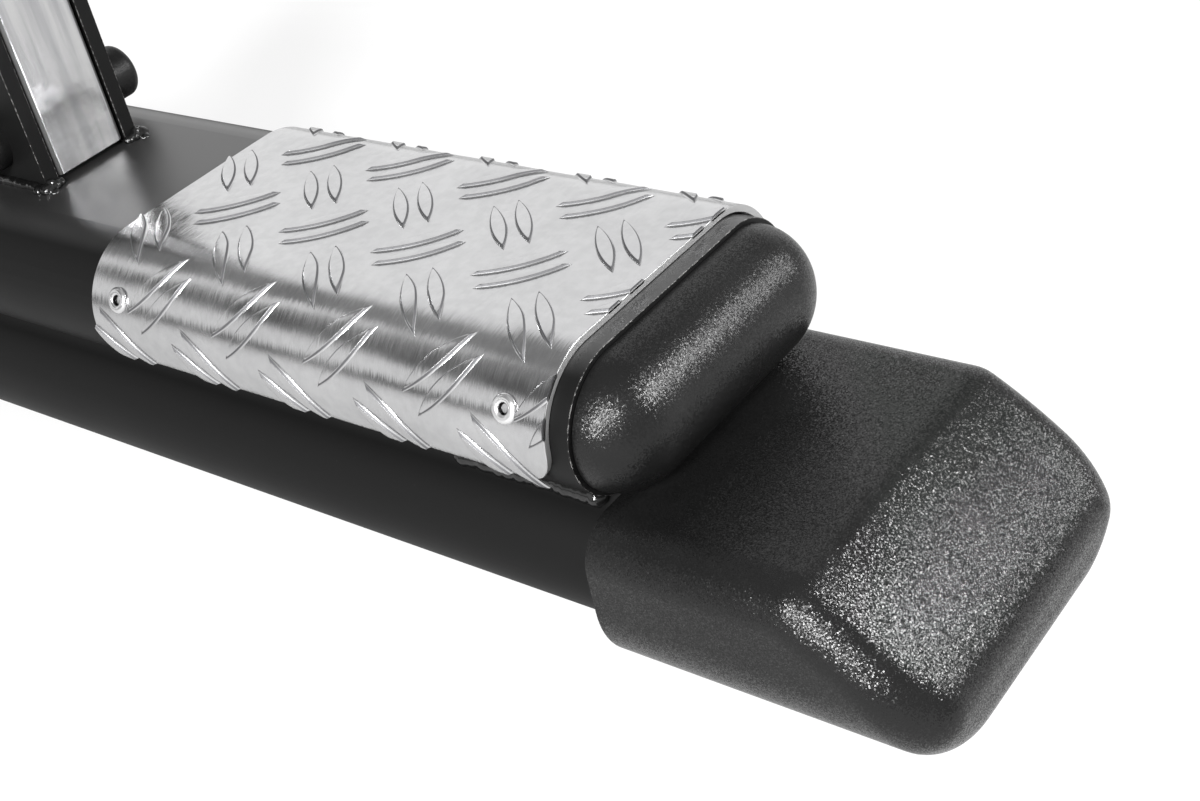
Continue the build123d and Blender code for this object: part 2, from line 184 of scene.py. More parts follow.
def feed(socket, value):
    """Wires an output into a socket, or sets the socket's own value."""
    if isinstance(value, Value):
        tree_at_work.links.new(value.socket, socket)
    else:
        socket.default_value = value


def feed_all(sockets, **values):
    """Feeds several sockets by name, where _ stands for a blank."""
    for name, value in values.items():
        feed(sockets[name.replace("_", " ")], value)


def add_node(kind, fill=None, **options):
    """One node. Options are its own settings, and fill gives its inputs by name or by number."""
    node = tree_at_work.nodes.new(kind)
    for name, value in options.items():
        setattr(node, name, value)
    for name, value in (fill or {}).items():
        feed(node.inputs[name], value)
    return node


def add(kind, fill=None, out=0, **options):
    """One node, of which only one output is wanted."""
    return Value(add_node(kind, fill, **options).outputs[out])


def all_outputs(node):
    return {socket.name: Value(socket) for socket in node.outputs}


def calc(operation, *terms):
    return add("ShaderNodeMath", dict(enumerate(terms)), operation=operation)


def vector_calc(operation, first, second=None, scale=None):
    """The output of a Vector Math node, which takes a second vector or a scale."""
    fill = {0: first, 1: second, "Scale": scale}
    fill = {socket: value for socket, value in fill.items() if value is not None}
    out = "Value" if operation in ("DOT_PRODUCT", "LENGTH") else "Vector"
    return add("ShaderNodeVectorMath", fill, out, operation=operation)


def coordinate(vector, axis):
    """One coordinate of a vector: 0, 1 or 2."""
    return add("ShaderNodeSeparateXYZ", {0: vector}, axis)


def build_vector(**coordinates):
    """A vector from its X, Y and Z, which are 0 where they are left out."""
    return add("ShaderNodeCombineXYZ", coordinates)


def noise(vector, scale, detail, **inputs):
    """How strong a soft noise is at each place, from 0 to 1."""
    return add("ShaderNodeTexNoise", {"Vector": vector, "Scale": scale, "Detail": detail, **inputs}, "Fac")


def surface_normal():
    return add("ShaderNodeNewGeometry", out="Normal")


def object_place():
    return add("ShaderNodeTexCoord", out="Object")


def lift(value, low, high, to_low=0.0, to_high=1.0):
    """A value taken from one range to another, smoothly and held at both ends."""
    fill = {"Value": value, "From Min": low, "From Max": high, "To Min": to_low, "To Max": to_high}
    return add("ShaderNodeMapRange", fill, "Result", interpolation_type="SMOOTHSTEP")


def begin_group(name, kind, inputs, outputs):
    """An empty group with named sockets. Returns the tree, its inputs to read and its outputs to fill."""
    tree = bpy.data.node_groups.new(name, kind)
    for label, socket_type, value in inputs:
        socket = tree.interface.new_socket(name=label, in_out="INPUT", socket_type=socket_type)
        if value is not None:
            socket.default_value = value
    for label, socket_type in outputs:
        tree.interface.new_socket(name=label, in_out="OUTPUT", socket_type=socket_type)
    work_in(tree)
    print("tree:", name)
    return tree, all_outputs(add_node("NodeGroupInput")), add_node("NodeGroupOutput").inputs


FLOAT, VECTOR, SHAPE = "NodeSocketFloat", "NodeSocketVector", "NodeSocketGeometry"
OBJECT, FINISH = "NodeSocketObject", "NodeSocketMaterial"

# %% [markdown]
# ## Finish 1: moulded grain
#
# The shoes, caps and covers are injection moulded in a sparked tool, which leaves a field of grains under
# half a millimetre across. A bump map of such small grains melts into plain dullness at a distance. What
# the eye sees is that every grain tilts its own way and a few of them catch the lamp, so the group
# tilts the normal by a random amount in each Voronoi cell. A noise makes broad patches a little
# smoother or rougher.

# %% Group: moulded grain
patches_per_metre = 22.0


def roughen(patches, given):
    """A group's roughness, spread a little up and down by patches."""
    return (patches - 0.5) * given["Spread"] + given["Roughness"]


def build_moulded_grain():
    tree, given, result = begin_group(
        "Moulded grain", "ShaderNodeTree",
        [("Grains per metre", FLOAT, 2500.0), ("Tilt", FLOAT, 0.5), ("Roughness", FLOAT, 0.3),
         ("Spread", FLOAT, 0.1)],
        [("Normal", VECTOR), ("Roughness", FLOAT), ("Tone", FLOAT)])
    place = object_place()
    grains = add("ShaderNodeTexVoronoi", {"Vector": place, "Scale": given["Grains per metre"]}, "Color")
    own_way = vector_calc("SUBTRACT", grains, (0.5, 0.5, 0.5))
    lean = vector_calc("SCALE", own_way, scale=given["Tilt"])
    tilted = vector_calc("ADD", surface_normal(), lean)
    patches = noise(place, patches_per_metre, 3.0)
    feed_all(result, Normal=vector_calc("NORMALIZE", tilted), Roughness=roughen(patches, given),
             Tone=lift(patches, 0.35, 0.65))
    return tree


moulded_grain = build_moulded_grain()

# %% [markdown]
# ## Finish 2: powder coat
#
# Powder coat flows as it bakes and leaves orange peel: low swells a millimetre or two across, under a
# fine pebble that dulls the gloss. Dust lies on it here and there, as small specks within broad
# patches, and has an output of its own.

# %% Group: powder coat skin
pebbles_per_peel, pebble_height = 6.0, 0.35
dust_patches_per_metre, specks_per_metre = 14.0, 260.0


def build_coat_skin():
    tree, given, result = begin_group(
        "Coat skin", "ShaderNodeTree",
        [("Peel per metre", FLOAT, 420.0), ("Roughness", FLOAT, 0.35), ("Spread", FLOAT, 0.08)],
        [("Height", FLOAT), ("Roughness", FLOAT), ("Dust", FLOAT)])
    place = object_place()
    peel = noise(place, given["Peel per metre"], 1.0)
    pebble = noise(place, given["Peel per metre"] * pebbles_per_peel, 2.0)
    patches = noise(place, dust_patches_per_metre, 4.0)
    specks = add("ShaderNodeTexVoronoi", {"Vector": place, "Scale": specks_per_metre}, "Distance")
    dust = lift(specks, 0.02, 0.07, 1.0, 0.0) * lift(patches, 0.5, 0.7)
    feed_all(result, Height=pebble * pebble_height + peel, Roughness=roughen(patches, given), Dust=dust)
    return tree


coat_skin = build_coat_skin()

# %% [markdown]
# ## Finish 3: drawn streaks
#
# Rolled and brushed metal is scratched in one direction. Noise squeezed across that direction gives
# long thin streaks, and a broader noise gives the soft clouds that a rolled sheet shows. The vector
# comes from outside, so the streaks can follow a bent sheet as well as a straight bar.

# %% Group: drawn streaks
def build_drawn_streaks():
    tree, given, result = begin_group(
        "Drawn streaks", "ShaderNodeTree",
        [("Vector", VECTOR, None), ("Across", FLOAT, 2600.0), ("Along", FLOAT, 120.0),
         ("Clouds", FLOAT, 45.0)],
        [("Height", FLOAT), ("Streak", FLOAT), ("Cloud", FLOAT)])
    x, y, z = (coordinate(given["Vector"], axis) for axis in range(3))
    squeezed = build_vector(X=x * given["Across"], Y=y * given["Along"], Z=z * given["Across"])
    streak = noise(squeezed, 1.0, 3.0)
    cloud = noise(given["Vector"], given["Clouds"], 4.0)
    feed_all(result, Height=streak, Streak=lift(streak, 0.3, 0.7), Cloud=lift(cloud, 0.3, 0.7))
    return tree


drawn_streaks = build_drawn_streaks()

# %% [markdown]
# ## Materials
#
# Each material is one Principled shader. Values that are the same everywhere are set on its own
# sockets. What varies comes from a group. `begin_material` gives the material and its shader,
# `use_group` places a group with this material's values, and `raise_bumps` turns a height into a normal.

# %% Helpers for materials
def begin_material(name, **constants):
    """A new material with one Principled shader, and that shader's constant values."""
    material = bpy.data.materials.new(name)
    material.use_nodes = True
    work_in(material.node_tree)
    shader = material.node_tree.nodes["Principled BSDF"]
    feed_all(shader.inputs, **constants)
    print("material:", material.name)
    return material, shader


def use_group(group, **values):
    """A group's outputs, with these values in its inputs."""
    node = add_node("ShaderNodeGroup", node_tree=group)
    feed_all(node.inputs, **values)
    return all_outputs(node)


def raise_bumps(height, distance, **normal):
    """A Bump node: height is 0 to 1, distance is the depth of 1 in metres."""
    return add("ShaderNodeBump", {"Height": height, "Distance": distance, **normal}, "Normal")


def blend_colours(share, first, second):
    """Between two colours by a mask. Each colour is three numbers or another node's output."""
    first, second = (c if isinstance(c, Value) else (*c, 1) for c in (first, second))
    return add("ShaderNodeMix", {0: share, 6: first, 7: second}, 2, data_type="RGBA")


def grey(tone):
    """A colour without a hue."""
    return (tone,) * 3


# %% [markdown]
# ### Moulded plastic
#
# The shoes, caps and bolt covers are the same black plastic with a coarser or a finer grain. It is dull
# in the shade and sparkles where a lamp is nearly mirrored, because each grain tilts its own way.

# %% Material: moulded plastics
def cover_with_grain(shader, grains, tilt, roughness, dark, pale):
    """Gives a shader the moulded grain between two colours, and returns that colour."""
    grain = use_group(
        moulded_grain, Grains_per_metre=grains, Tilt=tilt, Roughness=roughness, Spread=0.15)
    colour = blend_colours(grain["Tone"], dark, pale)
    feed_all(shader.inputs, Base_Color=colour, Roughness=grain["Roughness"], Normal=grain["Normal"])
    return colour


def make_moulded_plastic(name, grains, tilt, roughness, tone=0.005):
    _, shader = begin_material(name, Specular_IOR_Level=0.27, IOR=1.5)
    cover_with_grain(shader, grains, tilt, roughness, grey(tone), grey(tone * 1.35))


make_moulded_plastic("shoe plastic", grains=2700, tilt=0.36, roughness=0.23)
make_moulded_plastic("cap plastic", grains=3000, tilt=0.30, roughness=0.28)
make_moulded_plastic("cover plastic", grains=2600, tilt=0.16, roughness=0.40)

# %% [markdown]
# ### Painted steel
#
# Tubes and cheeks are coated black, dull on their sides. What looks up has been wiped and stepped on: it
# shines through a clear layer, and its colour is made paler, as painted light on the top faces and as dust
# lying there; dust specks also lie here and there. Sharp corners are made pale here and there, as edge
# wear
# and as a painted glint: a Bevel node finds them, because its rounded normal leaves the true one only
# there.
# The same recipe with a smoother, glossier skin serves the weld beads, where the powder runs thick.

# %% Material: coated steel
# colour of corners where the coat is worn through, also used to paint a glint along them
worn_edge_glint_colour = (0.27, 0.265, 0.26)
# how far from a corner the coat is thin and pale: edge wear, and a painted glint
corner_reach = 0.5 * MM         # how far from a corner the coat is thin


def make_coat(name, peel, depth, roughness, tone, level, dust=0.0, wiped_shine_and_top_light=0.0, edge_wear_and_glint=0.0):
    """Black coat: one setting gives what looks up a clear shine and a paler colour, as painted light and
    dust; dust says how much paler; the last says how pale the corners get, as wear and a painted glint.
    """
    material, shader = begin_material(
        name, Specular_IOR_Level=level, IOR=1.5, Coat_Roughness=0.35, Coat_IOR=1.5)
    skin = use_group(coat_skin, Peel_per_metre=peel, Roughness=roughness, Spread=0.14)
    facing = surface_normal()
    upward = lift(coordinate(facing, 2), 0.84, 0.995)
    # paler colour: painted light on what looks up, plus dust specks anywhere
    top_light_and_dust = upward * (0.8 if wiped_shine_and_top_light else 0.0) + skin["Dust"]
    eased = add("ShaderNodeBevel", {"Radius": corner_reach}, "Normal", samples=4)
    corner = lift(vector_calc("DOT_PRODUCT", facing, eased), 0.88, 0.98, edge_wear_and_glint, 0.0)
    # pale corners, broken up by the pebble: edge wear and a painted glint
    worn_edge_and_glint = corner * lift(skin["Height"], 0.62, 0.76, 0.05, 1.0)
    # dust says how much paler the painted top light and the dust specks make the coat
    coat = blend_colours(top_light_and_dust, grey(tone), grey(tone + dust))
    feed_all(
        shader.inputs, Base_Color=blend_colours(worn_edge_and_glint, coat, worn_edge_glint_colour), Coat_Weight=upward * wiped_shine_and_top_light,
        Roughness=skin["Roughness"], Normal=raise_bumps(skin["Height"], depth, Normal=eased))
    return material


# top faces get a clear shine and painted light, and corners get wear and a painted glint
make_coat("powder coat", peel=700, depth=0.008 * MM, roughness=0.5, tone=0.004, level=0.13,
          dust=0.014, wiped_shine_and_top_light=1.0, edge_wear_and_glint=1.0)
weld_paint = make_coat("weld paint", peel=900, depth=0.02 * MM, roughness=0.13, tone=0.005, level=0.55)

# %% [markdown]
# ### Tread plate
#
# Bare rolled aluminium. The streaks follow the unrolled sheet, whose flat coordinates the geometry
# keeps as the attribute `flat_place`, so they run round the bend instead of through it. Clouds in the
# roughness break up the reflections, as on handled sheet. The bars' flanks are rougher and much darker
# than their tops, and the sheared edge is rough and pale. Both masks read `rise`, how high a point lies
# above the sheet's face.

# %% Material: tread aluminium
flank_colour, sheared_colour = (0.1, 0.1, 0.105), grey(0.42)
hair_tilt = 0.065               # how far a streak leans the normal round the tube


def make_tread_metal():
    material, shader = begin_material("tread aluminium", Metallic=1.0)
    flat = add("ShaderNodeAttribute", out="Vector", attribute_name="flat_place")
    fine = use_group(drawn_streaks, Vector=flat, Across=3600.0, Along=130.0, Clouds=260.0)
    coarse = use_group(drawn_streaks, Vector=flat, Across=700.0, Along=60.0, Clouds=24.0)
    tone = fine["Cloud"] * 0.35 + coarse["Cloud"] * 0.45 + fine["Streak"] * 0.2
    rolled = blend_colours(tone, (0.51, 0.51, 0.515), (0.63, 0.63, 0.635))
    rise = coordinate(flat, 2) - sheet_thick
    sheared = lift(rise, -0.24 * MM, -0.04 * MM, 1.0, 0.0)
    flank = lift(rise, 0.12 * MM, 0.42 * MM) * lift(rise, 0.90 * MM, 0.97 * MM, 1.0, 0.0)
    shade = blend_colours(flank * 0.9, rolled, flank_colour)
    rough = fine["Streak"] * 0.07 + coarse["Cloud"] * 0.06 + flank * 0.42 + sheared * 0.4 + 0.13
    facing = surface_normal()
    round_about = vector_calc("CROSS_PRODUCT", facing, (1, 0, 0))
    hair = vector_calc("SCALE", round_about, scale=(fine["Streak"] - 0.5) * hair_tilt)
    streaks = raise_bumps(fine["Height"], 0.008 * MM, Normal=vector_calc("ADD", facing, hair))
    feed_all(
        shader.inputs, Base_Color=blend_colours(sheared, shade, sheared_colour), Roughness=rough,
        Normal=raise_bumps(coarse["Height"], 0.02 * MM, Normal=streaks))
    return material


tread_metal = make_tread_metal()

# %% [markdown]
# ### Brushed bar, rivets and hidden steel
#
# The upright's bar is brushed along its height. Its sides and corners are rougher, and darker as painted
# shade of the gap beside the cheeks. Its streaks read Object coordinates, turned so that the bar's height
# is the streaks' long direction. The rivets are tumbled aluminium, so their noise is the same in all
# directions, and painted shade darkens their bores where the attribute `bore` says so. The mandrels are
# nearly black, as oily steel and as painted shade of the bore. The bolts inside are zinc plated.

# %% Material: brushed bar
def make_brushed_metal():
    _, shader = begin_material("brushed metal", Metallic=1.0)
    turned = add("ShaderNodeMapping", {"Vector": object_place(), "Rotation": (math.pi / 2, 0, 0)})
    brush = use_group(drawn_streaks, Vector=turned, Across=1500.0, Along=30.0, Clouds=25.0)
    broad = use_group(drawn_streaks, Vector=turned, Across=260.0, Along=18.0, Clouds=60.0)
    # sides and corners: rougher, and darker as painted shade of the gap beside the cheeks
    corner = lift(calc("ABSOLUTE", coordinate(surface_normal(), 0)), 0.93, 0.995, 1.0, 0.0)
    face = blend_colours(broad["Streak"], (0.39, 0.39, 0.40), grey(0.54))
    swell = raise_bumps(brush["Cloud"], 0.3 * MM)
    feed_all(
        shader.inputs, Base_Color=blend_colours(corner, face, grey(0.14)),
        Roughness=brush["Streak"] * 0.05 + corner * 0.4 + 0.17,
        Normal=raise_bumps(brush["Height"], 0.003 * MM, Normal=swell))


make_brushed_metal()


# %% Material: tumbled and plated metal
# the colour of painted shade in the rivets' bores
bore_shade = grey(0.012)


def make_tumbled_metal(name, dark, pale, roughness, tilt, grains):
    material, shader = begin_material(name, Metallic=1.0)
    clean = cover_with_grain(shader, grains, tilt, roughness, dark, pale)
    # painted shade darkens the bore, where the attribute bore says so
    bore = add("ShaderNodeAttribute", out="Fac", attribute_name="bore")
    feed_all(shader.inputs, Base_Color=blend_colours(bore, clean, bore_shade))
    return material


rivet_metal = make_tumbled_metal(
    "rivet aluminium", (0.70, 0.70, 0.71), grey(0.82), roughness=0.26, tilt=0.08, grains=900)
# nearly black: oily steel, and painted shade of the bore that it sits in
make_tumbled_metal("mandrel steel", grey(0.05), grey(0.12), roughness=0.35, tilt=0.3, grains=1500)
make_tumbled_metal(
    "zinc steel", (0.42, 0.43, 0.46), (0.56, 0.56, 0.54), roughness=0.3, tilt=0.1, grains=1200)

# %% [markdown]
# ## Giving the CAD pieces their finish
#
# The record names a material slot for each piece, and every material is named after its slot. A CAD
# piece whose shape is right keeps its mesh and only gets that finish.

# %% Finishes for the CAD pieces
for part in frame["record"]["subparts"]:
    finish = bpy.data.materials[part["material_slot"].replace("_", " ")]
    for slot in parts[part["node"]].material_slots:
        slot.material = finish

# %% [markdown]
# ## The tread plate, part 1: laid out flat
#
# Real tread plate is rolled flat with its bars and bent afterwards, and it is easiest to make the
# same way. Flat, X runs along the tubes, Y round them, starting at the front edge of the flat top, and
# Z is the height above the tube. One bar is a lens of two arcs with sloping sides: its height depends
# on how far inside the outline a point lies, so the sides meet in a ridge at the tips.

# %% Mesh helpers
def mesh_object(name, made):
    """A mesh object of what bmesh has made."""
    mesh = bpy.data.meshes.new(name)
    made.to_mesh(mesh)
    made.free()
    return put_in_scene(name, mesh)


def make_mesh(name, corners, faces):
    """A mesh object from plain lists, with its faces turned outwards and no corner left unused."""
    mesh = bpy.data.meshes.new(name)
    mesh.from_pydata(corners, [], faces)
    made = bmesh.new()
    made.from_mesh(mesh)
    bpy.data.meshes.remove(mesh)
    bmesh.ops.remove_doubles(made, verts=made.verts, dist=1e-7)
    bmesh.ops.delete(made, geom=[v for v in made.verts if not v.link_faces], context="VERTS")
    bmesh.ops.recalc_face_normals(made, faces=made.faces)
    return mesh_object(name, made)


def skin_rings(rings):
    """Faces that join equal rings of corners one after another, with both ends closed."""
    size = len(rings[0])
    faces = [list(range(size)), [(len(rings) - 1) * size + k for k in range(size)]]
    for ring in range(len(rings) - 1):
        for k in range(size):
            a, b = ring * size + k, ring * size + (k + 1) % size
            faces.append([a, b, b + size, a + size])
    return faces


# %% One bar
plate_fit = 0.1 * MM            # the sheet's clearance to the tube
bar_length, bar_width = 32 * MM, 6.0 * MM
bar_height = plate_high.z - deck_z - plate_fit - sheet_thick
bar_side = 0.82 * MM            # how far the sloping sides reach in from the outline
bar_slope = (                   # the side's profile, in shares of bar_side and of bar_height
    (0.0, 0.0), (0.16, 0.09), (0.42, 0.32), (0.92, 0.90), (1.0, 0.955), (1.16, 0.972))
bar_stations = 28


def make_bar():
    """A lens-shaped bar along X with a nearly flat top, whose foot is sunk in the sheet."""
    half_long, half_wide = bar_length / 2, bar_width / 2
    arc = (half_long ** 2 + half_wide ** 2) / (2 * half_wide)
    flat_from = bar_slope[-1][0]
    rings = []
    for i in range(bar_stations + 1):
        x = -math.cos(math.pi * i / bar_stations) * (half_long - 0.05 * MM)
        wide = math.sqrt(arc ** 2 - x ** 2) - (arc - half_wide)
        share = min(1.0, wide / bar_side / flat_from)
        side = [(-(wide + 0.2 * MM), -0.14 * MM)]
        for reach, rise in bar_slope:
            side.append((-(wide - bar_side * share * reach), bar_height * share * rise))
        ring = side + [(0.0, bar_height * share)] + [(-y, z) for y, z in reversed(side)]
        buried = [(wide * 0.8, -0.8 * MM), (-wide * 0.8, -0.8 * MM)]
        rings.append([(x, y, sheet_thick + z) for y, z in ring + buried])
    return make_mesh("one_bar", [corner for ring in rings for corner in ring], skin_rings(rings))


one_bar = make_bar()
print("one bar:", len(one_bar.data.polygons), "faces,", round(bar_height / MM, 2), "mm high")

# %% [markdown]
# The sheet itself is a flat slab with rounded corners. Its outline is worked out row by row: where a
# row crosses a corner it starts further in, by a quarter circle. The same function, with another
# thickness, gives the slab that trims the bars to the sheet's edge.

# %% The flat sheet
plate_x = (plate_low.x, plate_high.x)
plate_spring = 1.0 * MM         # how far the back bend stands off
plate_wrap = math.radians(113)  # each bend, from the flat top to the sheared edge
bend_radius = tube_round + plate_fit
flat_width = 2 * flat_half + plate_spring
plate_y = (-plate_wrap * bend_radius, flat_width + plate_wrap * bend_radius)
corner_radius = 12 * MM
corner_steps, middle_rows = 14, 150


def outline_rows(inset):
    """Rows across the sheet: Y, and where X starts and ends there, all that much inside the outline."""
    radius = corner_radius - inset
    low, high = plate_y[0] + inset, plate_y[1] - inset
    turns = [math.pi / 2 * k / corner_steps for k in range(corner_steps + 1)]
    corner = [(radius * (1 - math.cos(t)), radius * (1 - math.sin(t))) for t in turns]
    straight = high - low - 2 * radius
    rows = [(low + up, inward) for up, inward in corner]
    rows += [(low + radius + straight * k / middle_rows, 0.0) for k in range(1, middle_rows)]
    rows += [(high - up, inward) for up, inward in reversed(corner)]
    return [(y, plate_x[0] + inset + inward, plate_x[1] - inset - inward) for y, inward in rows]


def make_slab(name, bottom, top, bevel, columns):
    """The sheet as a closed slab between two heights, with its edges bevelled."""
    layers = []
    for inset, height in ((bevel, top), (0.0, top - bevel), (0.0, bottom + bevel), (bevel, bottom)):
        layers.append([
            [(start + (end - start) * k / columns, y, height) for k in range(columns + 1)]
            for y, start, end in outline_rows(inset)])
    rows, wide = len(layers[0]), columns + 1
    corners = [corner for layer in layers for row in layer for corner in row]

    def at(layer, row, k):
        return (layer * rows + row) * wide + k

    faces = []
    for layer in (0, 3):
        for row in range(rows - 1):
            for k in range(columns):
                around = ((row, k), (row, k + 1), (row + 1, k + 1), (row + 1, k))
                faces.append([at(layer, *spot) for spot in around])
    rim = [(0, k) for k in range(columns)] + [(r, columns) for r in range(rows - 1)]
    rim += [(rows - 1, k) for k in range(columns, 0, -1)] + [(r, 0) for r in range(rows - 1, 0, -1)]
    for layer in range(3):
        for here, there in zip(rim, rim[1:] + rim[:1]):
            faces.append([at(layer, *here), at(layer, *there),
                          at(layer + 1, *there), at(layer + 1, *here)])
    return make_mesh(name, corners, faces)


flat_sheet = make_slab("flat_sheet", 0.0, sheet_thick, bevel=0.22 * MM, columns=104)
trim_slab = make_slab("trim_slab", 1.2 * MM, 6 * MM, bevel=0.05 * MM, columns=2)
print("flat sheet:", len(flat_sheet.data.polygons), "faces")

# %% [markdown]
# The bars are cleared round each rivet's head, as in the CAD model. The rivets' places are worked out
# flat as well: a little in from the sheet's ends and a little way down each bend.

# %% Rivet places
rivet_inset, rivet_below, rivet_head = 15 * MM, 27 * MM, 9.5 * MM
rivet_spots = [
    (x, y)
    for x in (plate_x[0] + rivet_inset, plate_x[1] - rivet_inset)
    for y in (-rivet_below, flat_width + rivet_below)
]


def make_clearances():
    """Four short posts, a little wider than a rivet's head, to cut the bars with."""
    made = bmesh.new()
    radius, depth = rivet_head / 2 + 0.15 * MM, 10 * MM
    for x, y in rivet_spots:
        bmesh.ops.create_cone(
            made, cap_ends=True, segments=48, radius1=radius, radius2=radius, depth=depth,
            matrix=Matrix.Translation((x, y, depth / 2)))
    return mesh_object("rivet_clearances", made)


rivet_clearances = make_clearances()
print("rivets stand", in_millimetres((rivet_inset, rivet_below)), "mm in and down")

# %% [markdown]
# ## The tread plate, part 2: the bend, as a node group
#
# Bending is one formula for every point. Y on the flat sheet is a distance round the tube: the part
# of it before the flat top turns the front bend, the part beyond it turns the back bend, and the
# height adds to the radius. Before that, a slow noise moves the sheet in and out by a tenth or two of a
# millimetre, because a rolled sheet never bends evenly between its stiff bars. A bar is too stiff to bend
# across its width, so its points turn with its spine and only stand off to the side by `off_spine`, and
# its top stays flat and mirrors something else than the sheet beside it.

# %% Helpers for values that points carry
def read_mark(name):
    """A number that the points carry under a name."""
    return add("GeometryNodeInputNamedAttribute", {"Name": name}, "Attribute", data_type="FLOAT")


def keep_mark(shape, name, value, data_type="FLOAT"):
    """The shape, with a value kept on its points under a name."""
    fill = {"Geometry": shape, "Name": name, "Value": value}
    return add("GeometryNodeStoreNamedAttribute", fill, data_type=data_type, domain="POINT")


# %% Group: bend over the tube
bend_inputs = [
    ("Bend radius", FLOAT, 0.025), ("Flat width", FLOAT, 0.071), ("Half width", FLOAT, 0.035),
    ("Axis height", FLOAT, 0.087), ("Wave height", FLOAT, 0.0002), ("Waves per metre", FLOAT, 40.0),
]


def build_bend():
    tree, given, result = begin_group(
        "Bend over the tube", "GeometryNodeTree",
        [("Shape", SHAPE, None), *bend_inputs], [("Shape", SHAPE)])
    beside = read_mark("off_spine")
    flat = add("GeometryNodeInputPosition")
    kept = keep_mark(given["Shape"], "flat_place", flat, data_type="FLOAT_VECTOR")
    x, y, z = (coordinate(flat, axis) for axis in range(3))
    swell = noise(build_vector(X=x, Y=y), given["Waves per metre"], 1.0, Roughness=0.4)
    height = z + (swell - 0.5) * given["Wave height"]
    spine = y - beside
    before = calc("MINIMUM", spine, 0.0)
    beyond = calc("MAXIMUM", spine - given["Flat width"], 0.0)
    turn = (before + beyond) / given["Bend radius"]
    level = spine - before - beyond - given["Half width"]
    reach = given["Bend radius"] + height
    sine, cosine = calc("SINE", turn), calc("COSINE", turn)
    bent = build_vector(
        X=x, Y=level + (reach * sine + beside * cosine),
        Z=(reach * cosine - beside * sine) + given["Axis height"])
    feed(result["Shape"], add("GeometryNodeSetPosition", {"Geometry": kept, "Position": bent}))
    return tree


bend_group = build_bend()

# %% [markdown]
# ## The tread plate, part 3: bars on a lattice
#
# The pattern is two lattices, one shifted half a pitch from the other both ways. At each point of the
# first stands a pair of bars turned one way, and at each point of the second a pair turned the other
# way. Geometry Nodes make the pair once, put it on both lattices, trim the bars at the sheet's edge and
# round the rivets, join the sheet, and bend it all. Trimming comes before bending because a flat cut is
# exact and quick. It loses what the points carried, so they read `off_spine` again from the whole bars.

# %% Helpers for trees that make a piece
def real_shape(shape):
    """The shape with its instances turned into plain geometry."""
    return add("GeometryNodeRealizeInstances", {"Geometry": shape})


def end_tree(shape, finish, result):
    """Makes instances real, gives the shape its material and puts it out."""
    feed(result, add("GeometryNodeSetMaterial", {"Geometry": real_shape(shape), "Material": finish}))


def shape_of(piece):
    """Another object's geometry."""
    return add("GeometryNodeObjectInfo", {"Object": piece}, "Geometry")


def join(*shapes):
    """Shapes as one."""
    node = add_node("GeometryNodeJoinGeometry")
    for shape in shapes:
        feed(node.inputs[0], shape)
    return Value(node.outputs[0])


def shift(shape, way):
    """The shape, moved by a vector."""
    return add("GeometryNodeTransform", {"Geometry": shape, "Translation": way})


def put_on_points(points, piece, rotation):
    """A copy of the piece on every point, as instances."""
    fill = {"Points": points, "Instance": piece, "Rotation": rotation}
    return add("GeometryNodeInstanceOnPoints", fill)


# %% Bars on their lattices
lattice_columns, lattice_rows = 5, 4


def lay_bars(given, place):
    """Every pair of bars on the flat sheet, each point marked with how far it stands off its spine."""
    bar = keep_mark(given["Bar"], "off_spine", coordinate(place, 1))
    pair = join(*[shift(bar, build_vector(Y=given["Bar spacing"] * side)) for side in (-0.5, 0.5)])
    lattices = []
    for half, heading in ((0.0, math.radians(135)), (0.5, math.radians(45))):
        grid = add("GeometryNodeMeshGrid", {
            "Size X": given["Pitch along"] * (lattice_columns - 1),
            "Size Y": given["Pitch round"] * (lattice_rows - 1),
            "Vertices X": lattice_columns, "Vertices Y": lattice_rows}, "Mesh")
        middle = build_vector(
            X=given["Pitch along"] * half + given["Middle along"],
            Y=given["Pitch round"] * half + given["Middle round"])
        single = real_shape(put_on_points(shift(grid, middle), pair, (0, 0, heading)))
        lattices.append(keep_mark(single, "off_spine", read_mark("off_spine") * math.cos(heading)))
    return join(*lattices)


# %% Tree: tread plate
def build_tread_tree():
    tree, given, result = begin_group(
        "Tread plate", "GeometryNodeTree",
        [("Bar", SHAPE, None), ("Pitch along", FLOAT, 0.044), ("Pitch round", FLOAT, 0.045),
         ("Bar spacing", FLOAT, 0.0086), ("Middle along", FLOAT, 0.1), ("Middle round", FLOAT, 0.0225),
         *bend_inputs, ("Sheet", OBJECT, None), ("Trim", OBJECT, None), ("Clearances", OBJECT, None),
         ("Finish", FINISH, None)],
        [("Plate", SHAPE)])
    place = add("GeometryNodeInputPosition")
    bars = lay_bars(given, place)

    within = add_node("GeometryNodeMeshBoolean", operation="INTERSECT", solver="EXACT")
    for shape in (bars, shape_of(given["Trim"])):
        feed(within.inputs["Mesh 2"], shape)
    fill = {"Mesh 1": Value(within.outputs["Mesh"]), "Mesh 2": shape_of(given["Clearances"])}
    cleared = add("GeometryNodeMeshBoolean", fill, "Mesh", operation="DIFFERENCE", solver="EXACT")

    fill = {"Mesh": bars, "Value": read_mark("off_spine"), "Sample Position": place}
    sampled = add("GeometryNodeSampleNearestSurface", fill, data_type="FLOAT")
    carried = keep_mark(cleared, "off_spine", sampled)

    fill = {name: given[name] for name, _, _ in bend_inputs}
    fill["Shape"] = join(carried, shape_of(given["Sheet"]))
    end_tree(add("GeometryNodeGroup", fill, node_tree=bend_group), given["Finish"], result["Plate"])
    return tree


tread_tree = build_tread_tree()

# %% [markdown]
# A tree becomes a piece in four steps: a modifier on a source object, its inputs set by identifier
# before anything is evaluated, the evaluated result copied into a plain mesh, and the modifier gone.

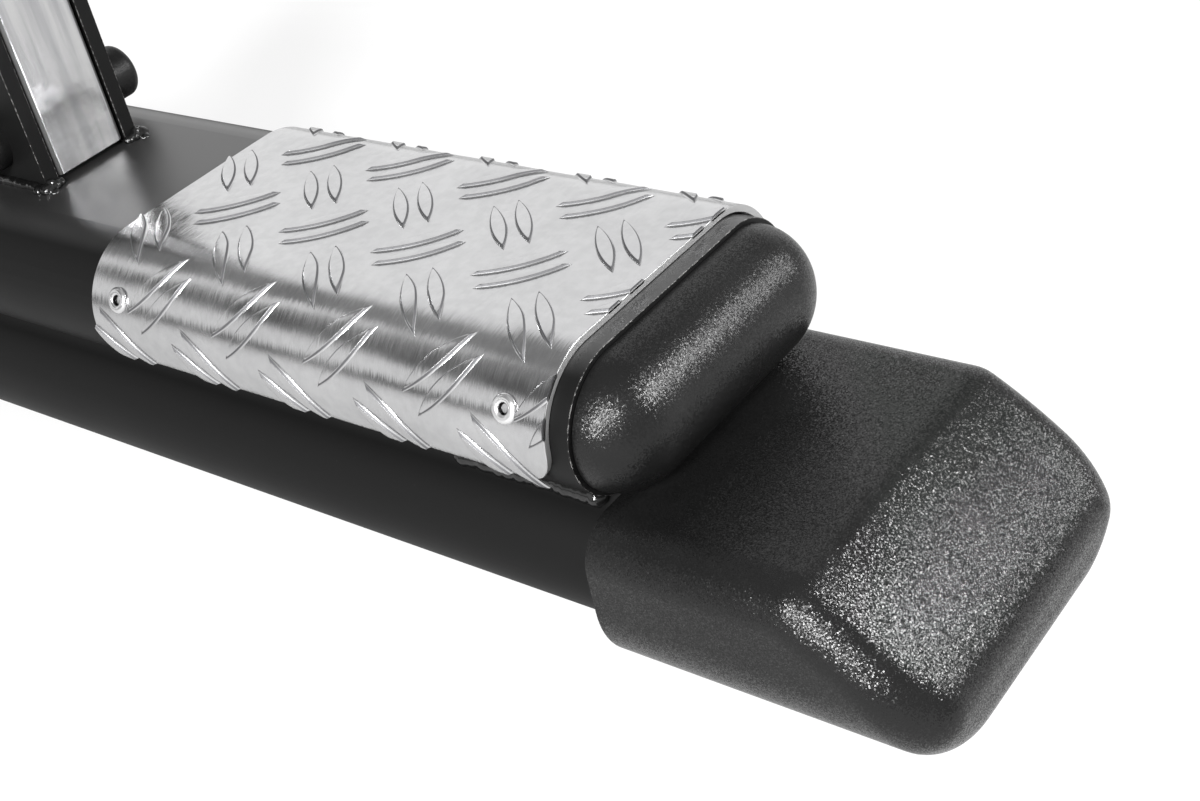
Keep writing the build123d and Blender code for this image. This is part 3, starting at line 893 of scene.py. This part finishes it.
# %% Running a tree
def copy_result(source, name):
    """What an object's modifiers make of it, as a plain, smoothly shaded mesh."""
    graph = bpy.context.evaluated_depsgraph_get()
    mesh = bpy.data.meshes.new_from_object(
        source.evaluated_get(graph), preserve_all_data_layers=True, depsgraph=graph)
    mesh.name = name
    mesh.shade_smooth()
    return mesh


def run_tree(tree, source, name, settings, crease=35):
    """Runs a tree on a source object and returns the result as a plain mesh piece."""
    modifier = source.modifiers.new(tree.name, "NODES")
    modifier.node_group = tree
    for item in tree.interface.items_tree:
        if item.item_type == "SOCKET" and item.in_out == "INPUT" and item.name in settings:
            modifier[item.identifier] = settings[item.name]
    mesh = copy_result(source, name)
    source.modifiers.remove(modifier)
    mesh.set_sharp_from_angle(angle=math.radians(crease))
    return put_in_scene(name, mesh)


def clear_away(*used):
    """Removes objects that were only ingredients."""
    for piece in used:
        bpy.data.objects.remove(piece)


pitch_along, pitch_round = 44 * MM, 45 * MM
pattern_start = 27 * MM         # from the tube's end to the first pairs of bars
tread_plate = run_tree(tread_tree, one_bar, "tread_sheet", {
    "Pitch along": pitch_along, "Pitch round": pitch_round, "Bar spacing": 8.6 * MM,
    "Middle along": tube_end - pattern_start - 2 * pitch_along, "Middle round": pitch_round / 2,
    "Bend radius": bend_radius, "Flat width": flat_width, "Half width": flat_half,
    "Axis height": step_z, "Wave height": 0.5 * MM, "Waves per metre": 30.0,
    "Sheet": flat_sheet, "Trim": trim_slab, "Clearances": rivet_clearances, "Finish": tread_metal})
clear_away(one_bar, flat_sheet, trim_slab, rivet_clearances)
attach(tread_plate, "root")
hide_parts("tread_plate")
print("tread plate:", len(tread_plate.data.polygons), "faces, mm:", in_millimetres(tread_plate.dimensions))

# %% [markdown]
# ## Blind rivets
#
# A set blind rivet is a ring with a rounded rim and a flared bore, a shank, and a tail that swells
# behind the tube's wall. It is a shape of revolution, so it is turned from a profile, as on a lathe,
# and Geometry Nodes put it on four points that carry the slope of the sheet there.

# %% Turning a profile
def turn_profile(name, profile, segments=48):
    """A closed ring profile of radius and height, turned about Z."""
    size = len(profile)
    corners, faces = [], []
    for k in range(segments):
        angle = 2 * math.pi * k / segments
        corners += [(r * math.cos(angle), r * math.sin(angle), z) for r, z in profile]
        step = (k + 1) % segments
        for i in range(size):
            j = (i + 1) % size
            faces.append([k * size + i, step * size + i, step * size + j, k * size + j])
    return make_mesh(name, corners, faces)


# radius and height in millimetres, from the sheet's underside
bore_and_flare = [(1.35, -9.1), (1.35, 2.6), (1.6, 2.9), (1.8, 3.3), (2.0, 3.6)]
head = [(2.3, 3.78), (2.7, 3.9), (3.2, 3.93), (3.8, 3.82), (4.3, 3.52), (4.62, 3.15), (4.75, 2.8),
        (4.75, 2.62), (4.66, 2.52), (2.4, 2.5)]
tail = [(2.4, -4.1), (2.9, -4.4), (3.4, -5.2), (3.6, -6.6), (3.4, -8.0), (2.9, -8.8), (2.4, -9.1)]
one_rivet = turn_profile("one_rivet", [(r * MM, z * MM) for r, z in bore_and_flare + head + tail])
# points within this radius, above the sheet's underside, get painted shade in the bore
bore_shade_within = 1.9 * MM
in_bore = [float(z > 0 and math.hypot(x, y) < bore_shade_within) for x, y, z in (
    v.co for v in one_rivet.data.vertices)]
one_rivet.data.attributes.new("bore", "FLOAT", "POINT").data.foreach_set("value", in_bore)


# %% Tree: set the rivets
def build_rivet_tree():
    tree, given, result = begin_group(
        "Set rivets", "GeometryNodeTree",
        [("Points", SHAPE, None), ("Rivet", OBJECT, None), ("Finish", FINISH, None)],
        [("Rivets", SHAPE)])
    leaning = build_vector(X=read_mark("lean"))
    placed = put_on_points(given["Points"], shape_of(given["Rivet"]), leaning)
    spin = add_node("FunctionNodeRandomValue", {"Min": 0.0, "Max": 6.28, "Seed": 4}, data_type="FLOAT")
    about = build_vector(Z=[Value(out) for out in spin.outputs if out.enabled][0])
    spun = add("GeometryNodeRotateInstances", {"Instances": placed, "Rotation": about})
    end_tree(spun, given["Finish"], result["Rivets"])
    return tree


def bend_spot(x, y):
    """Where a point of the flat sheet's underside lies on the tube, and how far it leans."""
    before, beyond = min(y, 0.0), max(y - flat_width, 0.0)
    turn = (before + beyond) / bend_radius
    level = y - before - beyond - flat_half
    return (x, level + bend_radius * math.sin(turn), step_z + bend_radius * math.cos(turn)), turn


def make_points(name, places, leans):
    """Loose points, each with how far its piece leans."""
    mesh = bpy.data.meshes.new(name)
    mesh.from_pydata(places, [], [])
    mesh.attributes.new("lean", "FLOAT", "POINT").data.foreach_set("value", leans)
    return put_in_scene(name, mesh)


spots = [bend_spot(x, y) for x, y in rivet_spots]
rivet_points = make_points(
    "rivet_points", [place for place, turn in spots], [-turn for place, turn in spots])
rivets = run_tree(build_rivet_tree(), rivet_points, "tread_rivets", {
    "Rivet": one_rivet, "Finish": rivet_metal}, crease=50)
clear_away(one_rivet, rivet_points)
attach(rivets, "root")
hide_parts("tread_rivet_bodies")
print("rivets:", len(rivets.data.polygons), "faces, first at", in_millimetres(spots[0][0]))

# %% [markdown]
# ## Weld beads
#
# A hand-laid bead is a row of overlapping puddles, so its radius rises and falls along its path and
# wanders a little. A curve carries the path, Geometry Nodes give it that radius and a round section,
# and lumps sit at its ends where the arc was started and stopped. A voxel remesh then melts bead and
# lumps into one closed skin, as the metal did.

# %% Tree: weld bead
def build_bead_tree():
    tree, given, result = begin_group(
        "Weld bead", "GeometryNodeTree",
        [("Path", SHAPE, None), ("Bead radius", FLOAT, 0.004), ("Puddles per metre", FLOAT, 260.0),
         ("Puddle depth", FLOAT, 0.03), ("Wander", FLOAT, 0.0012), ("Seed", FLOAT, 1.0),
         ("Finish", FINISH, None)],
        [("Bead", SHAPE)])
    fine = add("GeometryNodeResampleCurve", {"Curve": given["Path"], "Length": 0.4 * MM}, mode="LENGTH")
    along = add("GeometryNodeSplineParameter", out="Length")
    wave = calc("SINE", along * given["Puddles per metre"] * (2 * math.pi))
    fill = {"Vector": add("GeometryNodeInputPosition"), "W": given["Seed"], "Scale": 160.0, "Detail": 2.0}
    uneven = all_outputs(add_node("ShaderNodeTexNoise", fill, noise_dimensions="4D"))
    swell = wave * given["Puddle depth"] + ((uneven["Fac"] - 0.5) * 0.8 + 1.0)
    stray = vector_calc("SUBTRACT", uneven["Color"], (0.5, 0.5, 0.5))
    stray = vector_calc("SCALE", stray, scale=given["Wander"])
    moved = add("GeometryNodeSetPosition", {"Geometry": fine, "Offset": stray})
    sized = add("GeometryNodeSetCurveRadius", {"Curve": moved, "Radius": swell})
    fill = {"Resolution": 20, "Radius": given["Bead radius"]}
    ring = add("GeometryNodeCurvePrimitiveCircle", fill, "Curve")
    tube = add_node("GeometryNodeCurveToMesh", {"Curve": sized, "Profile Curve": ring, "Fill Caps": True})
    for socket in tube.inputs:
        if socket.name == "Scale":
            feed(socket, swell)
    end_tree(Value(tube.outputs[0]), given["Finish"], result["Bead"])
    return tree


bead_tree = build_bead_tree()


# %% Laying a bead
def make_path(places):
    """A curve that runs straight from place to place."""
    data = bpy.data.curves.new("path", "CURVE")
    data.dimensions = "3D"
    line = data.splines.new("POLY")
    line.points.add(len(places) - 1)
    for point, place in zip(line.points, places):
        point.co = (*place, 1)
    return put_in_scene("path", data)


def lay_bead(name, runs, lumps, radius, seed, node, voxel=0.4 * MM):
    """Beads along runs, and lumps, melted into one skin that stands for a CAD weld."""
    made = bmesh.new()
    for number, run in enumerate(runs):
        path = make_path(run)
        bead = run_tree(bead_tree, path, "bead", {
            "Bead radius": radius, "Seed": seed + number, "Finish": weld_paint})
        made.from_mesh(bead.data)
        clear_away(path, bead)
    for place, size in lumps:
        squash = Matrix.Translation(place) @ Matrix.Diagonal((1, 1, 0.8, 1))
        bmesh.ops.create_icosphere(made, subdivisions=3, radius=size, matrix=squash)
    rough = mesh_object(name + "_rough", made)
    melt = rough.modifiers.new("melt", "REMESH")
    melt.mode, melt.voxel_size = "VOXEL", voxel
    ease = rough.modifiers.new("ease", "SMOOTH")
    ease.factor, ease.iterations = 0.5, 4
    skin = copy_result(rough, name)
    skin.materials.clear()
    skin.materials.append(weld_paint)
    clear_away(rough)
    weld = put_in_scene(name, skin)
    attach(weld, "root")
    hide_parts(node)
    print(name, len(skin.polygons), "faces, mm:", in_millimetres(weld.dimensions))


# %% [markdown]
# The beads between the tubes lie in the groove where the two round sides meet, one stitch at each end
# of the tubes.

# %% The welds between the tubes
sides = ((-1, "front"), (1, "back"))
stitch_start, stitch_end = 4 * MM, 60 * MM  # from the end of the CAD weld
stitch_radius = 3.4 * MM

for side, name in sides:
    low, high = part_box("tube_welds_" + name)
    middle_y, middle_z = (low.y + high.y) / 2 - side * 0.4 * MM, (low.z + high.z) / 2
    runs, lumps = [], []
    for end in (-1, 1):
        outer, inner = end * (high.x - stitch_start), end * (high.x - stitch_end)
        runs.append([(outer, middle_y, middle_z), (inner, middle_y, middle_z)])
        lumps.append(((outer - end * 1 * MM, middle_y + side * 0.6 * MM, middle_z), 3.6 * MM))
        lumps.append(((inner, middle_y, middle_z), 3.4 * MM))
    lay_bead("tube_beads_" + name, runs, lumps, stitch_radius, 2.0 + side, "tube_welds_" + name)

# %% [markdown]
# The upright's beads run along the cheeks' feet, with glossy lumps round each corner, where the arc
# turned. A lump's place is counted from the cheek's corner, out along the tube and out from one of
# the cheek's two faces, and from the deck.

# %% The welds at the upright's foot
foot_radius = 2.3 * MM
corner_lumps = [  # along, face, out, up, radius, in millimetres
    (1.2, "outer", 1.0, 0.9, 3.1),
    (1.6, "outer", -2.8, 1.2, 2.6),
    (1.1, "inner", 0.8, 0.8, 2.3),
    (0.9, "outer", -1.2, 2.8, 1.8),
    (-2.8, "outer", 2.2, 0.5, 2.5),
    (4.2, "outer", 0.2, -0.4, 2.2),
]

for side, name in sides:
    low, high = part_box("post_cheek_" + name)
    faces = {"outer": high.y, "inner": low.y} if side > 0 else {"outer": low.y, "inner": high.y}
    foot_y, foot_z = faces["outer"] + side * 0.4 * MM, deck_z + 0.3 * MM
    runs = [[(low.x + 1 * MM, foot_y, foot_z), (high.x - 1 * MM, foot_y, foot_z)]]
    lumps = []
    for end, x in ((-1, low.x), (1, high.x)):
        for along, face, out, up, size in corner_lumps:
            place = (x + end * along * MM, faces[face] + side * out * MM, deck_z + up * MM)
            lumps.append((place, size * MM))
    lay_bead(
        "post_beads_" + name, runs, lumps, foot_radius, 7.0 + side, "post_weld_" + name, voxel=0.3 * MM)

# %% [markdown]
# ## Studio
#
# A white floor, a pale and low wall of light round about, and a dark ceiling: flat metal then mirrors
# the wall, and a bend mirrors the ceiling as a dark band. The world carries the wall as panels with
# soft edges, brighter behind than in front. The camera sees the background white, mirrors see the
# panels and a pale floor, and the floor keeps the object's shadow near it. Four soft lamps give the
# highlights.

# %% Floor
def make_floor(reach=2.6, near_glow=0.7, mirrored_glow=0.42, shadow_reach=(0.45, 1.3)):
    """White paper: it glows for the camera, fully from beyond the shadow, and less in mirrors."""
    mesh = bpy.data.meshes.new("floor")
    corners = [(x * reach, y * reach, 0) for x, y in ((-1, -1), (1, -1), (1, 1), (-1, 1))]
    mesh.from_pydata(corners, [], [(0, 1, 2, 3)])
    floor = put_in_scene("floor", mesh)
    material, shader = begin_material(
        "floor paper", Roughness=0.9, Base_Color=(*grey(0.3), 1), Specular_IOR_Level=0.1)
    ray = all_outputs(add_node("ShaderNodeLightPath"))
    seen = calc("MAXIMUM", ray["Is Camera Ray"], ray["Is Transmission Ray"])
    away = vector_calc("LENGTH", object_place())
    paper = seen * lift(away, *shadow_reach, near_glow, 1.0)
    strength = calc("MAXIMUM", paper, ray["Is Glossy Ray"] * mirrored_glow)
    glow = add("ShaderNodeEmission", {"Color": (1, 1, 1, 1), "Strength": strength})
    both = add("ShaderNodeAddShader", {0: Value(shader.outputs[0]), 1: glow})
    feed(material.node_tree.nodes["Material Output"].inputs["Surface"], both)
    mesh.materials.append(material)
    floor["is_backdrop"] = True


make_floor()


# %% World
all_round = (-400, -399, 399, 400)
panels = {  # how bright, then (start, full, full, end) in degrees of azimuth and of elevation
    "left wall": (1.0, (-400, -399, -112, -96), (-1, 0, 43, 51)),
    "right wall": (0.45, (95, 115, 399, 400), (-1, 0, 40, 50)),
    "screen": (1.0, (-80, -77, -70, -65), (-1, 0, 45, 50)),
    "strip": (0.86, (-68, -62, -28, -6), (3, 9, 20, 27)),
    "side": (0.42, (0, 30, 90, 110), (3, 9, 50, 66)),
    "haze": (0.17, all_round, (30, 46, 95, 99)),
    "ceiling": (0.36, all_round, (54, 72, 95, 99)),
}
dimmest = 0.13


def make_world():
    world = bpy.data.worlds.new("studio")
    world.use_nodes = True
    work_in(world.node_tree)
    toward = add("ShaderNodeTexCoord", out="Generated")
    x, y, z = (coordinate(toward, axis) for axis in range(3))
    azimuth = calc("ARCTAN2", x, y * -1.0) * (180 / math.pi)
    elevation = calc("ARCSINE", z) * (180 / math.pi)

    light = 0.0
    for level, sides, heights in panels.values():
        mask = level
        for angle, (start, full, still_full, end) in ((azimuth, sides), (elevation, heights)):
            mask = lift(angle, start, full) * mask * lift(angle, still_full, end, 1.0, 0.0)
        light = calc("MAXIMUM", light, mask)
    seen = add("ShaderNodeLightPath", out="Is Camera Ray")
    back = world.node_tree.nodes["Background"]
    feed_all(back.inputs, Color=(1, 1, 1, 1), Strength=calc("MAXIMUM", light + dimmest, seen))
    bpy.context.scene.world = world
    print("world:", *panels)


make_world()


# %% Lamps
def hang_lamp(name, azimuth, elevation, distance, size, power, target=(0.15, 0, 0.08)):
    """A soft rectangular lamp that faces target from a direction round the object."""
    back = direction(azimuth, elevation)
    data = bpy.data.lights.new(name, "AREA")
    data.shape, data.size, data.size_y = "RECTANGLE", size[0], size[1]
    data.energy = power
    lamp = put_in_scene(name, data)
    lamp.location = Vector(target) + back * distance
    lamp.rotation_mode = "QUATERNION"
    lamp.rotation_quaternion = back.to_track_quat("Z", "Y")
    lamp.visible_camera = False
    print("lamp:", name, power, "W")


hang_lamp("back softbox", azimuth=134, elevation=21, distance=1.6, size=(0.4, 0.3), power=8.4)
hang_lamp("back spot", azimuth=117, elevation=33, distance=0.6, size=(0.13, 0.13), power=3.8,
          target=(0.23, -0.04, 0.1))
hang_lamp("front spot", azimuth=7, elevation=20, distance=1.6, size=(0.24, 0.24), power=26)
hang_lamp("corner spot", azimuth=27, elevation=33, distance=1.6, size=(0.24, 0.24), power=28)

# %% [markdown]
# ## Colour and finish
#
# Colours are shown as they are written, with the Standard view. Last, the box of the finished model is
# printed, to stand beside the CAD model's box printed at the start.

# %% Finish
bpy.context.scene.view_settings.view_transform = "Standard"
low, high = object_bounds()
print("visual box, mm:", in_millimetres((*low, *high)))
